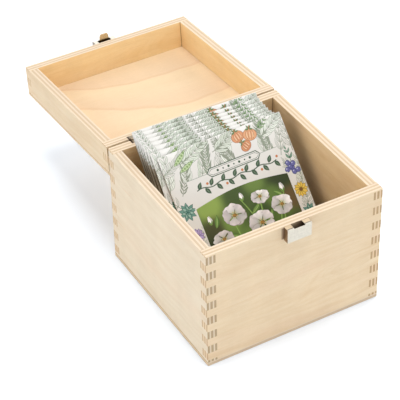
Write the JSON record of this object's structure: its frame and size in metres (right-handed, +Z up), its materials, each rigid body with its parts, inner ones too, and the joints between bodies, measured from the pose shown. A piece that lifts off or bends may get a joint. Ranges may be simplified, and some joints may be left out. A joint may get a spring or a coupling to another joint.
{
  "type": "garden seed organizer box",
  "caption": "Finger-jointed birch plywood seed box with a lid hinged at the back, folded open, a sprung front clasp and a leaning row of seed packets that lift out.",
  "frame": {"origin": "centre of the underside of the bottom board", "axes": "+Z up, -Y the front with the keeper, +X to the right seen from the front; stored with the lid folded open over +Y"},
  "size_m": [0.17, 0.3499, 0.1371],
  "materials": {
    "birch_board": "sanded birch plywood, bare, five plies showing on the edges",
    "birch_panel": "sanded thin birch plywood, bare",
    "hinge_nickel": "nickel plated, satin",
    "clasp_nickel": "nickel plated, satin",
    "tongue_steel": "bright spring steel",
    "pin_steel": "drawn wire",
    "screw_steel": "nickel plated",
    "packet_paper": "uncoated printed paper"
  },
  "bodies": {
    "box": {"front_wall": "birch_board", "back_wall": "birch_board", "left_wall": "birch_board", "right_wall": "birch_board", "bottom_board": "birch_panel", "left_hinge_box_leaf": "hinge_nickel", "right_hinge_box_leaf": "hinge_nickel", "left_hinge_pin": "pin_steel", "right_hinge_pin": "pin_steel", "left_box_screw_outer": "screw_steel", "left_box_screw_inner": "screw_steel", "right_box_screw_inner": "screw_steel", "right_box_screw_outer": "screw_steel", "keeper": "clasp_nickel"},
    "lid": {"lid_front_wall": "birch_board", "lid_back_wall": "birch_board", "lid_left_wall": "birch_board", "lid_right_wall": "birch_board", "lid_top_panel": "birch_panel", "left_hinge_lid_leaf": "hinge_nickel", "right_hinge_lid_leaf": "hinge_nickel", "left_lid_screw_outer": "screw_steel", "left_lid_screw_inner": "screw_steel", "right_lid_screw_inner": "screw_steel", "right_lid_screw_outer": "screw_steel", "clasp_case": "clasp_nickel", "clasp_pin": "pin_steel"},
    "clasp_catch": {"clasp_tongue": "tongue_steel"},
    "seed_packet_1": {"packet_1": "packet_paper"},
    "seed_packet_2": {"packet_2": "packet_paper"},
    "seed_packet_3": {"packet_3": "packet_paper"},
    "seed_packet_4": {"packet_4": "packet_paper"},
    "seed_packet_5": {"packet_5": "packet_paper"},
    "seed_packet_6": {"packet_6": "packet_paper"},
    "seed_packet_7": {"packet_7": "packet_paper"},
    "seed_packet_8": {"packet_8": "packet_paper"}
  },
  "joints": [
    {"name": "lid_hinge", "type": "hinge", "parent": "box", "child": "lid", "pos_m": [0, 0.08525, 0.12015], "axis": [-1, 0, 0], "range_deg": [-184.5, 0]},
    {"name": "clasp_spring", "type": "hinge", "parent": "lid", "child": "clasp_catch", "pos_m": [0, 0.25623, 0.09721], "axis": [-1, 0, 0], "range_deg": [-4, 0], "stiffness_Nm_per_rad": 0.02},
    {"name": "packet_1_lift", "type": "slide", "parent": "box", "child": "seed_packet_1", "axis": [0, 0.66, 0.7513], "range_m": [0, 0.15]},
    {"name": "packet_2_lift", "type": "slide", "parent": "box", "child": "seed_packet_2", "axis": [0, 0.6557, 0.755], "range_m": [0, 0.15]},
    {"name": "packet_3_lift", "type": "slide", "parent": "box", "child": "seed_packet_3", "axis": [0, 0.6513, 0.7588], "range_m": [0, 0.15]},
    {"name": "packet_4_lift", "type": "slide", "parent": "box", "child": "seed_packet_4", "axis": [0, 0.647, 0.7625], "range_m": [0, 0.15]},
    {"name": "packet_5_lift", "type": "slide", "parent": "box", "child": "seed_packet_5", "axis": [0, 0.6426, 0.7662], "range_m": [0, 0.15]},
    {"name": "packet_6_lift", "type": "slide", "parent": "box", "child": "seed_packet_6", "axis": [0, 0.6382, 0.7699], "range_m": [0, 0.15]},
    {"name": "packet_7_lift", "type": "slide", "parent": "box", "child": "seed_packet_7", "axis": [0, 0.6338, 0.7735], "range_m": [0, 0.15]},
    {"name": "packet_8_lift", "type": "slide", "parent": "box", "child": "seed_packet_8", "axis": [0, 0.6293, 0.7771], "range_m": [0, 0.15]}
  ]
}
